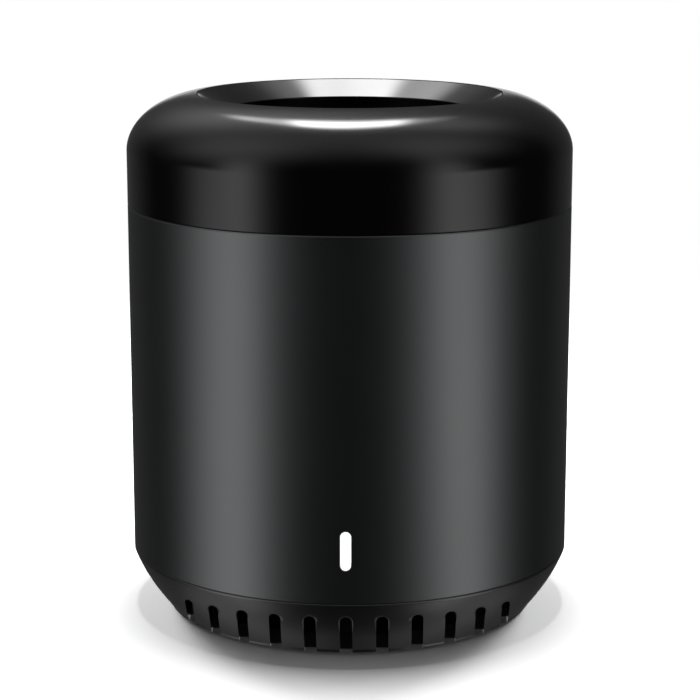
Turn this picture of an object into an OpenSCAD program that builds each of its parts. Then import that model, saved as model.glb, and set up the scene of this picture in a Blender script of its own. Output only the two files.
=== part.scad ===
// Table-top infrared remote hub: a cap that lets infrared through, a satin sleeve and a vented base
// round two printed boards. Millimetres, +Z up, front towards -Y, origin under the foot's centre.

/* [Body] */
// Outer diameter of the sleeve, the cap and the base's widest part
body_d = 56; // [54:0.5:62]
// Height of the sleeve between the base and the cap
sleeve_h = 44.2; // [40:0.2:50]
// Wall of the sleeve
sleeve_wall = 1.8; // [1.4:0.1:2.2]
// Bevel round the sleeve's top edge
sleeve_bevel = 0.2; // [0.1:0.05:0.4]
// Gap where one piece slips into another
slip_gap = 0.1; // [0.05:0.01:0.15]
// Gap round loose inner pieces
free_gap = 0.3; // [0.2:0.05:0.4]

/* [Cap] */
// Height of the cap's straight side
cap_straight_h = 6.8; // [5:0.2:9]
// Height of the rounded shoulder above the straight side
cap_shoulder_h = 6.95; // [6:0.05:8]
// Width of the shoulder, from the cap's side in to its highest line
shoulder_w = 9.5; // [9.2:0.1:11]
// Power of the shoulder's curve, where 2 is an ellipse
shoulder_power = 1.92; // [1.8:0.02:2.4]
// Wall of the cap
cap_wall = 1.8; // [1.4:0.1:2.2]
// Depth of the lip that the cap puts into the sleeve
cap_lip_h = 4; // [3:0.5:5]
// Wall of that lip
cap_lip_wall = 1.5; // [1.2:0.1:1.7]
// Thickness of the cap's ledge under the dish ring
cap_ledge_t = 1.6; // [1.2:0.1:2]

/* [Dish] */
// Distance of the dish ring's edge outside the shoulder's highest line
dish_rim_out = 0.6; // [0.4:0.1:1]
// Width of the funnel, from the ring's edge in to the hole
funnel_w = 3.8; // [3.4:0.1:5]
// Fall of the funnel from its rim to the hole's edge
dish_drop = 2.05; // [1.6:0.05:2.4]
// Depth of the well under the hole's edge
well_depth = 3; // [2:0.1:3.2]
// Wall of the well
well_wall = 1.6; // [1.4:0.1:1.8]
// Thickness of the disc that closes the well
dish_floor_t = 1.4; // [1:0.1:1.6]

/* [Base] */
// Height of the base between its flat underside and the sleeve
base_h = 7.7; // [7:0.1:9]
// Height of the upright band at the top of the base's flank
base_band_h = 0.5; // [0.3:0.1:1]
// Distance that the flank comes in from the sleeve to its bottom edge
base_taper = 4.3; // [3:0.1:5]
// Outward bulge of the flank at its middle
base_bulge = 0.4; // [0.1:0.1:0.8]
// Radius of the base's bottom edge
base_edge_r = 0.5; // [0.2:0.1:0.8]
// Thickness of the base's floor
base_floor_t = 1.8; // [1.6:0.1:2.2]
// Level thickness of the flank at the floor
base_wall = 2.3; // [2:0.1:2.6]
// Height of the rim that the base puts into the sleeve
base_rim_h = 3; // [2:0.2:3]
// Wall of that rim
base_rim_wall = 1.4; // [1.2:0.1:1.8]

/* [Vent slots] */
// Slots in the front row, with as many behind
slot_count = 11; // [5:2:13]
// Angle between neighbouring slots
slot_pitch = 9.2; // [8:0.2:10]
// Width of a slot, square to the flank
slot_w = 1.5; // [1:0.1:2]
// Height of the middle slot's round top above the base's underside
slot_top_h = 5.9; // [4.5:0.1:6.4]
// Fall of the slots towards the middle of the base, in degrees
slot_fall = 6.4; // [0:0.2:8]
// Depth of the slots' notches in the floor's edge
slot_notch = 1.9; // [1.8:0.1:2.2]
// Distance of the circle that the slots are spaced on inside the body's radius
slot_inset = 0.8; // [0.4:0.1:1.2]

/* [Foot] */
// Width of the rubber foot ring, which covers the base screws
foot_w = 7; // [6:0.2:7.6]
// Thickness of the foot ring
foot_t = 1.2; // [1:0.1:1.4]
// Height of the foot ring's part that stands out of the base
foot_proud = 0.4; // [0.3:0.1:0.6]

/* [Status window] */
// Width of the status window
window_w = 1.35; // [1:0.05:2]
// Height of the status window
window_h = 4.7; // [4:0.1:6]
// Height of the window's centre above the base's underside
window_up = 14.3; // [14:0.1:16]
// Gap round the window in the sleeve
window_gap = 0.04; // [0.03:0.01:0.08]
// Width of the flange behind the sleeve
window_flange_w = 0.9; // [0.6:0.1:1]
// Thickness of that flange
window_flange_t = 1; // [0.6:0.1:1.2]

/* [Power inlet] */
// Inner width of the recess round the power socket
port_w = 20; // [19:0.5:21]
// Inner height of that recess
port_h = 9; // [8.6:0.1:9.4]
// Corner radius of the recess
port_corner_r = 2.2; // [1.5:0.1:3]
// Depth of the recess from the sleeve's rearmost line
port_depth = 4.4; // [4.2:0.1:4.8]
// Wall of the recess
port_wall = 0.8; // [0.6:0.1:1]
// Thickness of the recess's flat panel
port_panel_t = 1.5; // [1.2:0.1:1.8]
// Width of the recess's flange inside the sleeve
port_flange_w = 1.1; // [0.8:0.1:1.2]
// Thickness of that flange
port_flange_t = 1; // [0.8:0.1:1.2]
// Outer width of the socket's metal shell
usb_w = 7.5; // [7.3:0.1:7.7]
// Outer height of the socket's metal shell
usb_h = 2.5; // [2.4:0.1:2.8]
// Length of the socket's metal shell
usb_len = 5.6; // [5:0.1:6]
// Sheet thickness of the socket's shell
usb_sheet = 0.25; // [0.2:0.01:0.3]
// Distance of the socket's mouth behind the panel's face
usb_setback = 0.4; // [0.2:0.1:0.8]

/* [Reset button] */
// Distance of the reset button to the side of the socket
reset_x = 7.2; // [7:0.1:7.6]
// Diameter of the reset pinhole
reset_hole_d = 1.5; // [1.2:0.1:1.8]
// Width of the reset switch
switch_w = 4.4; // [4.2:0.1:5]
// Depth of the reset switch from front to back
switch_d = 3.6; // [3.4:0.1:4.2]
// Width of the reset button
plunger_w = 1.6; // [1.4:0.1:1.8]
// Height of the reset button
plunger_h = 1.2; // [1:0.1:1.3]
// Reach of the reset button out of its switch
plunger_reach = 1.2; // [1:0.1:1.4]
// Travel of the reset button
plunger_travel = 0.3; // [0.2:0.05:0.4]

/* [Boards and frame] */
// Gap round the main board in the base's rim
main_board_gap = 0.2; // [0.1:0.05:0.4]
// Thickness of the main board
main_board_t = 1.6; // [1.2:0.1:1.8]
// Height of the main board's top above the base's underside
main_board_up = 13.3; // [13:0.1:13.6]
// Gap round the upper board in the cap's lip
ir_board_gap = 1; // [0.6:0.1:1.4]
// Thickness of the upper board
ir_board_t = 1.2; // [1:0.1:1.6]
// Depth of the upper board's top under the infrared emitters' axes
emitter_lift = 3; // [3:0.1:3.2]
// Gap between the emitters' flanges and the disc of the well
emitter_headroom = 0.6; // [0.4:0.1:1]
// Distance of the four corner screws inside the sleeve's face
screw_inset = 11; // [10.8:0.1:12]
// Diameter of the frame's columns
column_d = 5.2; // [4.8:0.1:5.4]
// Level width of the frame's rings
frame_ring_w = 4.4; // [4:0.1:4.8]
// Thickness of the frame's rings
frame_ring_t = 1.6; // [1.2:0.1:2]

/* [Screws and ballast] */
// Diameter of the base screws
screw_d = 2.5; // [2.2:0.1:2.6]
// Length of the base screws under their heads
screw_len = 16; // [15:0.5:18]
// Diameter of the base screws' heads
screw_head_d = 4.4; // [4:0.1:4.6]
// Height of the base screws' heads
screw_head_h = 1.6; // [1.2:0.1:1.8]
// Diameter of the base's screw bosses
boss_d = 7; // [6.6:0.1:7.2]
// Diameter of the upper board's screws
board_screw_d = 2; // [1.8:0.1:2.2]
// Length of the upper board's screws under their heads
board_screw_len = 6; // [5:0.5:8]
// Gap between the steel ballast disc and the screw bosses
ballast_gap = 1.5; // [0.5:0.5:3]
// Thickness of the steel ballast disc
ballast_t = 4; // [2:0.5:6]

/* [Infrared parts] */
// Infrared emitters in the ring
emitter_count = 8; // [4:4:8]
// Diameter of an emitter's body
emitter_d = 5; // [4.6:0.1:5]
// Diameter of an emitter's flange
emitter_flange_d = 5.8; // [5.4:0.1:5.8]
// Length of an emitter from its flange to its tip
emitter_len = 8.6; // [8:0.1:8.8]
// Distance of the emitters' tips inside the cap's wall
emitter_inset = 2; // [1.6:0.1:2.4]
// Thickness of the emitters' leads
lead_t = 0.5; // [0.4:0.05:0.6]
// Distance between an emitter's leads
lead_pitch = 2.54; // [2.5:0.02:2.6]
// Width of the infrared receiver
receiver_w = 5.6; // [5:0.1:6]
// Depth of the infrared receiver
receiver_d = 4.6; // [4:0.1:4.8]
// Height of the infrared receiver
receiver_h = 6.4; // [6:0.1:6.6]
// Radius of the infrared receiver's lens
receiver_lens_r = 2; // [1.6:0.1:2.2]
// Distance of the receiver's middle inside the cap's side
receiver_inset = 7.2; // [7:0.1:7.3]

/* [Hidden] */
$fn = 64;

// Overrun of every cut past the face that it opens
over = body_d / 56;

// Levels from the foot up
body_r = body_d / 2;
base_z = foot_proud;
sleeve_z = base_z + base_h;
cap_z = sleeve_z + sleeve_h;
shoulder_z = cap_z + cap_straight_h;
crest_z = shoulder_z + cap_shoulder_h;
hole_z = crest_z - dish_drop;
well_floor_z = hole_z - well_depth;
well_under_z = well_floor_z - dish_floor_t;
floor_top_z = base_z + base_floor_t;
sleeve_in_r = body_r - sleeve_wall;
slip_r = sleeve_in_r - slip_gap;

// Shoulder and dish
crest_r = body_r - shoulder_w;
rim_r = crest_r + dish_rim_out;
hole_r = rim_r - funnel_w;
well_r = hole_r + well_wall;
cap_seat_r = rim_r + slip_gap;
cap_web_r = cap_seat_r + cap_ledge_t;
shoulder_steps = 30;

// Base
base_bottom_r = body_r - base_taper;
screw_ring_r = body_r - screw_inset;
foot_outer_r = screw_ring_r + foot_w / 2;
foot_inner_r = screw_ring_r - foot_w / 2;
flank_low_z = base_z + base_edge_r;
flank_top_z = sleeve_z - base_band_h;
flank_steps = 12;
rim_in_r = slip_r - base_rim_wall;
floor_in_r = flank_r((floor_top_z - flank_low_z) / (flank_top_z - flank_low_z)) - base_wall;
slot_ring_r = body_r - slot_inset;
slot_in_r = base_bottom_r - slot_notch;
slot_arch_steps = 12;

// Main board and what stands on it
main_board_d = 2 * (rim_in_r - main_board_gap);
board_z = base_z + main_board_up;
board_under_z = board_z - main_board_t;
port_z = board_z + usb_h / 2;
panel_y = body_r - port_depth;
panel_in_y = panel_y - port_panel_t;
board_rear_y = panel_in_y - free_gap;
screw_clear_r = screw_d / 2 + slip_gap;
thread_r = screw_d / 2 + slip_gap / 3;
screw_seat_z = foot_t + screw_head_h + free_gap;

// Upper board
emitter_z = well_under_z - emitter_headroom - emitter_flange_d / 2;
ir_board_z = emitter_z - emitter_lift;
ir_board_under_z = ir_board_z - ir_board_t;
emitter_tip_r = body_r - cap_wall - emitter_inset;
emitter_back_r = emitter_tip_r - emitter_len;
emitter_flange_t = emitter_d / 5;
lead_bend = lead_t * 3;
lead_r = emitter_back_r - lead_bend;
lead_tail = lead_t * 2;
lead_hole_r = lead_t * 0.95;
board_thread_r = board_screw_d / 2 + slip_gap / 3;
board_head_r = board_screw_d * 0.95;
board_head_h = board_screw_d * 0.65;
ir_board_r = slip_r - cap_lip_wall - ir_board_gap;
receiver_out = body_r - receiver_inset;
frame_mid_r = screw_ring_r + free_gap;
frame_low_ring_share = 0.45;
frame_top_ring_z = ir_board_under_z - lead_tail - free_gap - frame_ring_t;

// Power socket: its shell from usb_rear_y to its mouth, and the tongue in it with its contacts
usb_rear_y = panel_y - usb_setback - usb_len;
usb_corner_share = 0.36;
tongue_w = 3.75;
tongue_t = 0.6;
tongue_len = 4.2;
tongue_z = port_z + usb_h / 10;
tongue_root_w = 5.4;
tongue_root_h = 1.7;
tongue_root_d = 0.9;
contact_count = 5;
contact_len = 2.9;
contact_t = 0.12;

// Reset switch
plunger_tip_y = panel_in_y - free_gap;
switch_face_y = plunger_tip_y - plunger_reach;
plunger_collar_w = plunger_w * 1.5;
plunger_collar_t = plunger_h / 2;
plunger_gap = slip_gap / 2;
switch_lip = switch_d / 5;

// Radio module at the board's left edge, with its screening can and its track
wifi_w = 16;
wifi_column_gap = 2;
wifi_d = 2 * (screw_ring_r * sin(45) - column_d / 2 - wifi_column_gap);
wifi_t = 0.8;
wifi_edge = 2;
wifi_x = wifi_edge + wifi_w / 2 - main_board_d / 2;
antenna_zone = 4.65;
shield_edge = 0.75;
shield_w = wifi_w - shield_edge - antenna_zone;
shield_d = wifi_d - 2 * shield_edge;
shield_h = 2.2;
shield_sheet = 0.25;
shield_x = wifi_x + wifi_w / 2 - shield_w / 2 - shield_edge;
wifi_chip_w = 6;
wifi_chip_h = 0.9;
antenna_t = 0.12;
antenna_track = 0.5;
antenna_turns = 5;

// Supply parts
leg_t = 0.2;
regulator_w = 6.5;
regulator_d = 3.5;
regulator_h = 1.6;
capacitor_d = 5;
capacitor_h = 6;
capacitor_foot_w = 5.3;
capacitor_foot_h = 1;
inductor_w = 5.2;
inductor_h = 2.8;
inductor_flange_t = 0.8;
transistor_w = 2.9;
transistor_d = 1.3;
transistor_h = 1.1;
chip_len = 1.6;
chip_w = 0.8;
chip_h = 0.6;
chip_step = 2.7;
chip_column_gap = 0.6;
chip_row_y = screw_ring_r * sin(45) + column_d / 2 + chip_column_gap;

// Places on the main board, as shares of its diameter from its middle
regulator_share = [-0.02, 0.215];
inductor_share = [0.145, 0.03];
capacitor_shares = [[0.33, 0.075], [0.33, -0.075]];
transistor_shares = [[-0.11, -0.25], [0, -0.25], [0.11, -0.25]];
link_share = [0.08, -0.12];
side_chips_share = -0.13;
front_chips_share = 0.17;

// Status light
led_w = 3.1;
led_d = 1.2;
led_h = 1.4;

// Cable between the boards
socket_w = 9.3;
socket_d = 4.3;
socket_h = 4.8;
ribbon_t = 0.8;
ribbon_w = 7.4;
ribbon_grip = 2.9;
ribbon_slack = 2.6;
ribbon_steps = 24;

// Straight runs that stand for a round corner of a flat outline
corner_steps = 6;

// Shapes that several pieces share

// Flat rectangle with round corners, centred
module rounded_rect(w, h, r) {
    polygon([
        for (side = [[1, 1], [-1, 1], [-1, -1], [1, -1]], k = [0:corner_steps])
            let (
                turn = side[0] * side[1] > 0 ? k : corner_steps - k,
                a = 90 * turn / corner_steps
            )
            [side[0] * (w / 2 - r + r * cos(a)), side[1] * (h / 2 - r + r * sin(a))]
    ]);
}

// Block on its lower face, centred across it
module block(w, d, h) {
    translate([-w / 2, -d / 2, 0])
        cube([w, d, h]);
}

// Upright tube from z = 0
module tube(outer_r, inner_r, h) {
    difference() {
        cylinder(r = outer_r, h = h);
        translate([0, 0, -over])
            cylinder(r = inner_r, h = h + 2 * over);
    }
}

// Turns a flat outline in X and Z into a bar that runs towards +Y from y
module along_y(y, len) {
    translate([0, y + len, 0])
        rotate([90, 0, 0])
            linear_extrude(len)
                children();
}

// Copies its children to the four corner screws
module at_corners(z) {
    for (a = [45:90:315])
        rotate([0, 0, a])
            translate([screw_ring_r, 0, z])
                children();
}

// Copies its children to every emitter, with +X outwards
module at_emitters() {
    for (k = [0:emitter_count - 1])
        rotate([0, 0, (k + 0.5) * 360 / emitter_count - 90])
            children();
}

// Points of a quarter superellipse from its widest point up, in r and z
function shoulder(in_r, w, z, h, to) = [
    for (k = [0:shoulder_steps])
        let (a = to * k / shoulder_steps)
        [in_r + w * pow(cos(a), 2 / shoulder_power), z + h * pow(sin(a), 2 / shoulder_power)]
];

// Angle on that curve at which it reaches the radius r
function shoulder_end(in_r, w, r) = acos(pow((r - in_r) / w, shoulder_power / 2));

// Housing

module housing_sleeve() {
    color("dimgray")
        difference() {
            rotate_extrude($fn = 180)
                polygon([
                    [sleeve_in_r, sleeve_z],
                    [body_r, sleeve_z],
                    [body_r, cap_z - sleeve_bevel],
                    [body_r - sleeve_bevel, cap_z],
                    [sleeve_in_r, cap_z]
                ]);
            window_bar(window_gap, -body_r - over, body_r);
            port_bar(slip_gap, 0, body_r + over);
        }
}

module top_cap() {
    outer_w = body_r - crest_r;
    inner_w = outer_w - cap_wall;
    lip_root_z = cap_z + cap_lip_wall;
    color("black")
        rotate_extrude($fn = 180)
            polygon(concat(
                [[slip_r, cap_z], [body_r, cap_z]],
                shoulder(crest_r, outer_w, shoulder_z, cap_shoulder_h,
                    shoulder_end(crest_r, outer_w, cap_seat_r)),
                [
                    [cap_seat_r, hole_z],
                    [well_r + slip_gap, hole_z],
                    [well_r + slip_gap, hole_z - cap_ledge_t],
                    [cap_web_r, hole_z - cap_ledge_t]
                ],
                reverse(shoulder(crest_r, inner_w, shoulder_z, cap_shoulder_h - cap_wall,
                    shoulder_end(crest_r, inner_w, cap_web_r))),
                [
                    [body_r - cap_wall, lip_root_z],
                    [slip_r - cap_lip_wall, lip_root_z],
                    [slip_r - cap_lip_wall, cap_z - cap_lip_h],
                    [slip_r, cap_z - cap_lip_h]
                ]
            ));
}

function reverse(list) = [for (k = [len(list) - 1:-1:0]) list[k]];

module dish_ring() {
    rebate_r = hole_r + well_wall / 2;
    color("black")
        rotate_extrude($fn = 180)
            polygon([
                [rim_r, hole_z],
                [rim_r, crest_z - slip_gap / 2],
                [hole_r, hole_z],
                [hole_r, well_floor_z],
                [rebate_r, well_floor_z],
                [rebate_r, well_under_z],
                [well_r, well_under_z],
                [well_r, hole_z]
            ]);
}

module dish_floor() {
    color("black")
        translate([0, 0, well_under_z])
            cylinder(r = hole_r + well_wall / 2 - slip_gap, h = dish_floor_t, $fn = 180);
}

// Radius of the base's flank, from t = 0 at its bottom edge to 1 at its top
function flank_r(t) =
    base_bottom_r + t * (body_r - base_bottom_r) + base_bulge * 4 * t * (1 - t);

// Flank, rim and floor of the base as one turned shell
module base_shell() {
    rotate_extrude($fn = 180)
        polygon(concat(
            [[0, base_z], [base_bottom_r - base_edge_r, base_z]],
            [
                for (k = [0:flank_steps])
                    let (t = k / flank_steps)
                    [flank_r(t), flank_low_z + t * (flank_top_z - flank_low_z)]
            ],
            [
                [body_r, sleeve_z],
                [slip_r, sleeve_z],
                [slip_r, sleeve_z + base_rim_h],
                [rim_in_r, sleeve_z + base_rim_h],
                [rim_in_r, sleeve_z - base_rim_wall],
                [floor_in_r, floor_top_z],
                [0, floor_top_z]
            ]
        ));
}

// One row of slots; each is upright, round at its top and open at the base's underside
module slot_row() {
    middle = (slot_count - 1) / 2;
    outer_y = body_r + over;
    for (k = [-middle:middle]) {
        r = slot_w / 2 * cos(k * slot_pitch);
        x = slot_ring_r * sin(k * slot_pitch);
        in_y = sqrt(pow(slot_in_r, 2) - pow(x, 2));
        translate([x, -slot_ring_r, base_z + slot_top_h])
            rotate([-slot_fall, 0, 0])
                along_y(slot_ring_r - outer_y, outer_y - in_y)
                    polygon(concat(
                        [
                            for (j = [0:slot_arch_steps])
                                let (a = 180 * j / slot_arch_steps)
                                [r * cos(a), r * sin(a) - r]
                        ],
                        [[-r, -2 * slot_top_h], [r, -2 * slot_top_h]]
                    ));
    }
}

module vent_base() {
    boss_z = floor_top_z - base_floor_t / 2;
    color("black")
        difference() {
            union() {
                base_shell();
                at_corners(boss_z)
                    cylinder(d = boss_d, h = board_under_z - boss_z);
            }
            for (a = [0, 180])
                rotate([0, 0, a])
                    slot_row();
            translate([0, 0, base_z - over])
                tube(foot_outer_r + slip_gap, foot_inner_r - slip_gap, foot_t - base_z + over);
            at_corners(base_z) {
                cylinder(r = screw_clear_r, h = board_z);
                cylinder(r = screw_head_d / 2 + slip_gap, h = screw_seat_z - base_z);
            }
            translate([0, body_r / 2, sleeve_z])
                block(port_w + 2 * (port_wall + port_flange_w + free_gap), body_r,
                    base_rim_h + over);
        }
}

module foot_ring() {
    color("dimgray")
        tube(foot_outer_r, foot_inner_r, foot_t, $fn = 120);
}

module base_screws() {
    socket_d = screw_head_d / 2;
    color("silver")
        at_corners(screw_seat_z) {
            cylinder(d = screw_d, h = screw_len);
            translate([0, 0, -screw_head_h])
                difference() {
                    cylinder(d = screw_head_d, h = screw_head_h);
                    translate([0, 0, -over])
                        cylinder(d = socket_d, h = screw_head_h / 2 + over, $fn = 6);
                }
        }
}

module ballast_disc() {
    color("slategray")
        translate([0, 0, floor_top_z])
            cylinder(r = screw_ring_r - boss_d / 2 - ballast_gap, h = ballast_t, $fn = 120);
}

// Bar with the window's outline, grown by gap, from y to y + len
module window_bar(gap, y, len) {
    w = window_w + 2 * gap;
    h = window_h + 2 * gap;
    along_y(y, len)
        translate([0, base_z + window_up]) {
            square([w, h - w], center = true);
            for (side = [-1, 1])
                translate([0, side * (h - w) / 2])
                    circle(w / 2);
        }
}

module status_window() {
    flange_r = window_w / 2 + window_flange_w;
    color("white") {
        intersection() {
            window_bar(0, -body_r, body_r / 2);
            translate([0, 0, sleeve_z])
                tube(body_r, slip_r - window_flange_t / 2, sleeve_h, $fn = 180);
        }
        intersection() {
            along_y(-body_r, body_r / 2)
                translate([0, base_z + window_up])
                    rounded_rect(2 * flange_r, window_h + 2 * window_flange_w, flange_r / 2);
            translate([0, 0, sleeve_z])
                tube(slip_r, slip_r - window_flange_t, sleeve_h, $fn = 180);
        }
    }
}

// Bar with the recess's outline, grown by gap and its wall, from y to y + len
module port_bar(gap, y, len) {
    grow = port_wall + gap;
    along_y(y, len)
        translate([0, port_z])
            rounded_rect(port_w + 2 * grow, port_h + 2 * grow, port_corner_r + grow);
}

module port_bezel() {
    color("black")
        difference() {
            union() {
                intersection() {
                    port_bar(0, panel_in_y, body_r);
                    cylinder(r = body_r, h = cap_z, $fn = 180);
                }
                intersection() {
                    port_bar(port_flange_w, panel_in_y, body_r);
                    tube(slip_r, slip_r - port_flange_t, cap_z, $fn = 180);
                }
            }
            along_y(panel_y, body_r)
                translate([0, port_z])
                    rounded_rect(port_w, port_h, port_corner_r);
            along_y(panel_in_y - over, body_r)
                translate([0, port_z])
                    rounded_rect(usb_w + 2 * free_gap, usb_h + 2 * free_gap, usb_h / 4);
            translate([reset_x, panel_in_y - over, port_z])
                rotate([-90, 0, 0])
                    cylinder(d = reset_hole_d, h = port_panel_t + 2 * over);
        }
}

// Frame and boards

module inner_frame() {
    frame_h = ir_board_under_z - board_z;
    ring_out_r = frame_mid_r + frame_ring_w / 2;
    ring_in_r = frame_mid_r - frame_ring_w / 2;
    color("darkslategray")
        difference() {
            union() {
                at_corners(board_z)
                    cylinder(d = column_d, h = frame_h);
                for (z = [board_z + frame_h * frame_low_ring_share, frame_top_ring_z])
                    translate([0, 0, z])
                        tube(ring_out_r, ring_in_r, frame_ring_t, $fn = 120);
            }
            at_corners(board_z - over)
                cylinder(r = thread_r, h = screw_len);
            at_corners(ir_board_under_z - board_screw_len)
                cylinder(r = board_thread_r, h = board_screw_len + over);
        }
}

module main_board() {
    color("darkgreen")
        difference() {
            translate([0, 0, board_under_z])
                cylinder(d = main_board_d, h = main_board_t, $fn = 120);
            translate([0, board_rear_y + body_r / 2, board_under_z - over])
                block(body_d, body_r, main_board_t + 2 * over);
            at_corners(board_under_z - over)
                cylinder(r = screw_clear_r, h = main_board_t + 2 * over);
        }
}

module ir_board() {
    color("darkgreen")
        difference() {
            translate([0, 0, ir_board_under_z])
                cylinder(r = ir_board_r, h = ir_board_t, $fn = 120);
            at_corners(ir_board_under_z - over)
                cylinder(d = board_screw_d + 2 * slip_gap, h = ir_board_t + 2 * over);
            translate([0, 0, ir_board_under_z - over]) {
                at_emitters()
                    for (side = [-1, 1])
                        translate([lead_r, side * lead_pitch / 2, 0])
                            cylinder(r = lead_hole_r, h = ir_board_t + 2 * over, $fn = 24);
                for (side = [-1:1])
                    translate([side * lead_pitch, -receiver_out, 0])
                        cylinder(r = lead_hole_r, h = ir_board_t + 2 * over, $fn = 24);
            }
        }
}

module board_screws() {
    color("silver")
        at_corners(ir_board_z) {
            translate([0, 0, -board_screw_len])
                cylinder(d = board_screw_d, h = board_screw_len);
            difference() {
                cylinder(r = board_head_r, h = board_head_h);
                translate([0, 0, board_head_h / 2])
                    cylinder(r = board_head_r / 2, h = board_head_h, $fn = 6);
            }
        }
}

// Power socket

// Outline of the socket's shell in X and Z, shrunk by inset, with its lower corners cut
module usb_outline(inset) {
    w = usb_w / 2 - inset;
    h = usb_h / 2 - inset;
    cut = usb_h * usb_corner_share;
    polygon([[-w, h], [w, h], [w, cut - h], [w - cut, -h], [cut - w, -h], [-w, cut - h]]);
}

module usb_shell() {
    color("silver")
        translate([0, 0, port_z])
            difference() {
                along_y(usb_rear_y, usb_len)
                    usb_outline(0);
                along_y(usb_rear_y + usb_sheet, usb_len)
                    usb_outline(usb_sheet);
            }
}

module usb_tongue() {
    color("black")
        translate([0, usb_rear_y + usb_sheet, 0]) {
            translate([0, tongue_root_d / 2, port_z - tongue_root_h / 2])
                block(tongue_root_w, tongue_root_d, tongue_root_h);
            translate([0, tongue_len / 2, tongue_z])
                block(tongue_w, tongue_len, tongue_t);
        }
}

module usb_contacts() {
    pitch = tongue_w / contact_count;
    middle = (contact_count - 1) / 2;
    tip_y = usb_rear_y + usb_sheet + tongue_len;
    color("gold")
        for (k = [-middle:middle])
            translate([k * pitch, tip_y - contact_len / 2, tongue_z - contact_t])
                block(pitch / 2, contact_len, contact_t);
}

// Reset switch

module reset_switch() {
    room_w = plunger_w + 2 * plunger_gap;
    room_h = plunger_h + 2 * plunger_gap;
    collar_room_w = plunger_collar_w + 2 * plunger_gap;
    collar_room_d = plunger_collar_t + plunger_travel + 2 * plunger_gap;
    color("dimgray")
        difference() {
            translate([reset_x, switch_face_y - switch_d / 2, board_z])
                block(switch_w, switch_d, usb_h);
            translate([reset_x, switch_face_y, port_z - room_h / 2])
                block(room_w, switch_d, room_h);
            translate([reset_x, switch_face_y - switch_lip - collar_room_d / 2,
                    port_z - room_h / 2])
                block(collar_room_w, collar_room_d, room_h);
        }
}

module reset_plunger() {
    collar_y = switch_face_y - switch_lip - plunger_gap - plunger_collar_t;
    stem_len = plunger_tip_y - collar_y;
    color("white")
        translate([reset_x, collar_y, port_z - plunger_h / 2]) {
            translate([0, stem_len / 2, 0])
                block(plunger_w, stem_len, plunger_h);
            translate([0, plunger_collar_t / 2, 0])
                block(plunger_collar_w, plunger_collar_t, plunger_h);
        }
}

// Radio module

module wifi_module() {
    color("darkgreen")
        translate([wifi_x, 0, board_z])
            block(wifi_w, wifi_d, wifi_t);
}

module wifi_shield() {
    color("silver")
        translate([shield_x, 0, board_z + wifi_t])
            difference() {
                block(shield_w, shield_d, shield_h);
                translate([0, 0, -over])
                    block(shield_w - 2 * shield_sheet, shield_d - 2 * shield_sheet,
                        shield_h - shield_sheet + over);
            }
}

module wifi_chip() {
    color("black")
        translate([shield_x, 0, board_z + wifi_t])
            block(wifi_chip_w, wifi_chip_w, wifi_chip_h);
}

// Folded track at the module's outer end
module wifi_antenna() {
    end_x = wifi_x - wifi_w / 2 + antenna_track;
    leg = shield_x - shield_w / 2 - antenna_track - end_x;
    last = 2 * antenna_turns - 1;
    pitch = (wifi_d - 4 * antenna_track) / last;
    color("gold")
        translate([end_x, -pitch * last / 2 - antenna_track / 2, board_z + wifi_t])
            for (k = [0:last])
                translate([0, k * pitch, 0]) {
                    cube([leg, antenna_track, antenna_t]);
                    if (k < last)
                        translate([k % 2 == 0 ? leg - antenna_track : 0, 0, 0])
                            cube([antenna_track, pitch + antenna_track, antenna_t]);
                }
}

// Supply parts

// Copies its children to a place on the main board's top
module on_board(place) {
    translate([place[0] * main_board_d, place[1] * main_board_d, board_z])
        children();
}

// Moulded part with its underside on short legs: fore legs at fore_x, rear ones at rear_x
module legged_part(w, d, h, leg_w, fore_x, rear_x) {
    translate([0, 0, leg_t])
        block(w, d, h);
    for (x = fore_x)
        translate([x, -d / 2, 0])
            block(leg_w, d / 2, 2 * leg_t);
    for (x = rear_x)
        translate([x, d / 2, 0])
            block(leg_w, d / 2, 2 * leg_t);
}

module voltage_regulator() {
    pitch = regulator_w / 3;
    color("dimgray")
        on_board(regulator_share)
            legged_part(regulator_w, regulator_d, regulator_h, pitch / 3,
                [-pitch, 0, pitch], [-pitch / 2, 0, pitch / 2]);
}

module capacitors() {
    color("silver")
        for (place = capacitor_shares)
            on_board(place) {
                block(capacitor_foot_w, capacitor_foot_w, capacitor_foot_h);
                cylinder(d = capacitor_d, h = capacitor_h);
            }
}

module power_inductor() {
    color("dimgray")
        on_board(inductor_share) {
            block(inductor_w, inductor_w, inductor_flange_t);
            cylinder(d = inductor_w - inductor_flange_t / 2, h = inductor_h - inductor_flange_t / 2);
            translate([0, 0, inductor_h - inductor_flange_t])
                block(inductor_w, inductor_w, inductor_flange_t);
        }
}

module driver_transistors() {
    color("dimgray")
        for (place = transistor_shares)
            on_board(place)
                legged_part(transistor_w, transistor_d, transistor_h, transistor_w / 7,
                    [-transistor_w / 3, transistor_w / 3], [0]);
}

// Small chips in two rows beside the socket and two rows at the front of the main board
module chip_parts() {
    color("tan")
        for (row = [0:1], k = [0:3]) {
            on_board([side_chips_share, 0])
                translate([-k * chip_step, chip_row_y + chip_w / 2 + row * chip_step, 0])
                    block(chip_len, chip_w, chip_h);
            on_board([front_chips_share, 0])
                translate([k * chip_len, -chip_row_y - chip_len / 2 - row * chip_step, 0])
                    block(chip_w, chip_len, chip_h);
        }
}

module status_led() {
    color("white")
        translate([0, led_d - main_board_d / 2, board_z])
            block(led_w, led_d, led_h);
}

// Cable between the boards

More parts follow.
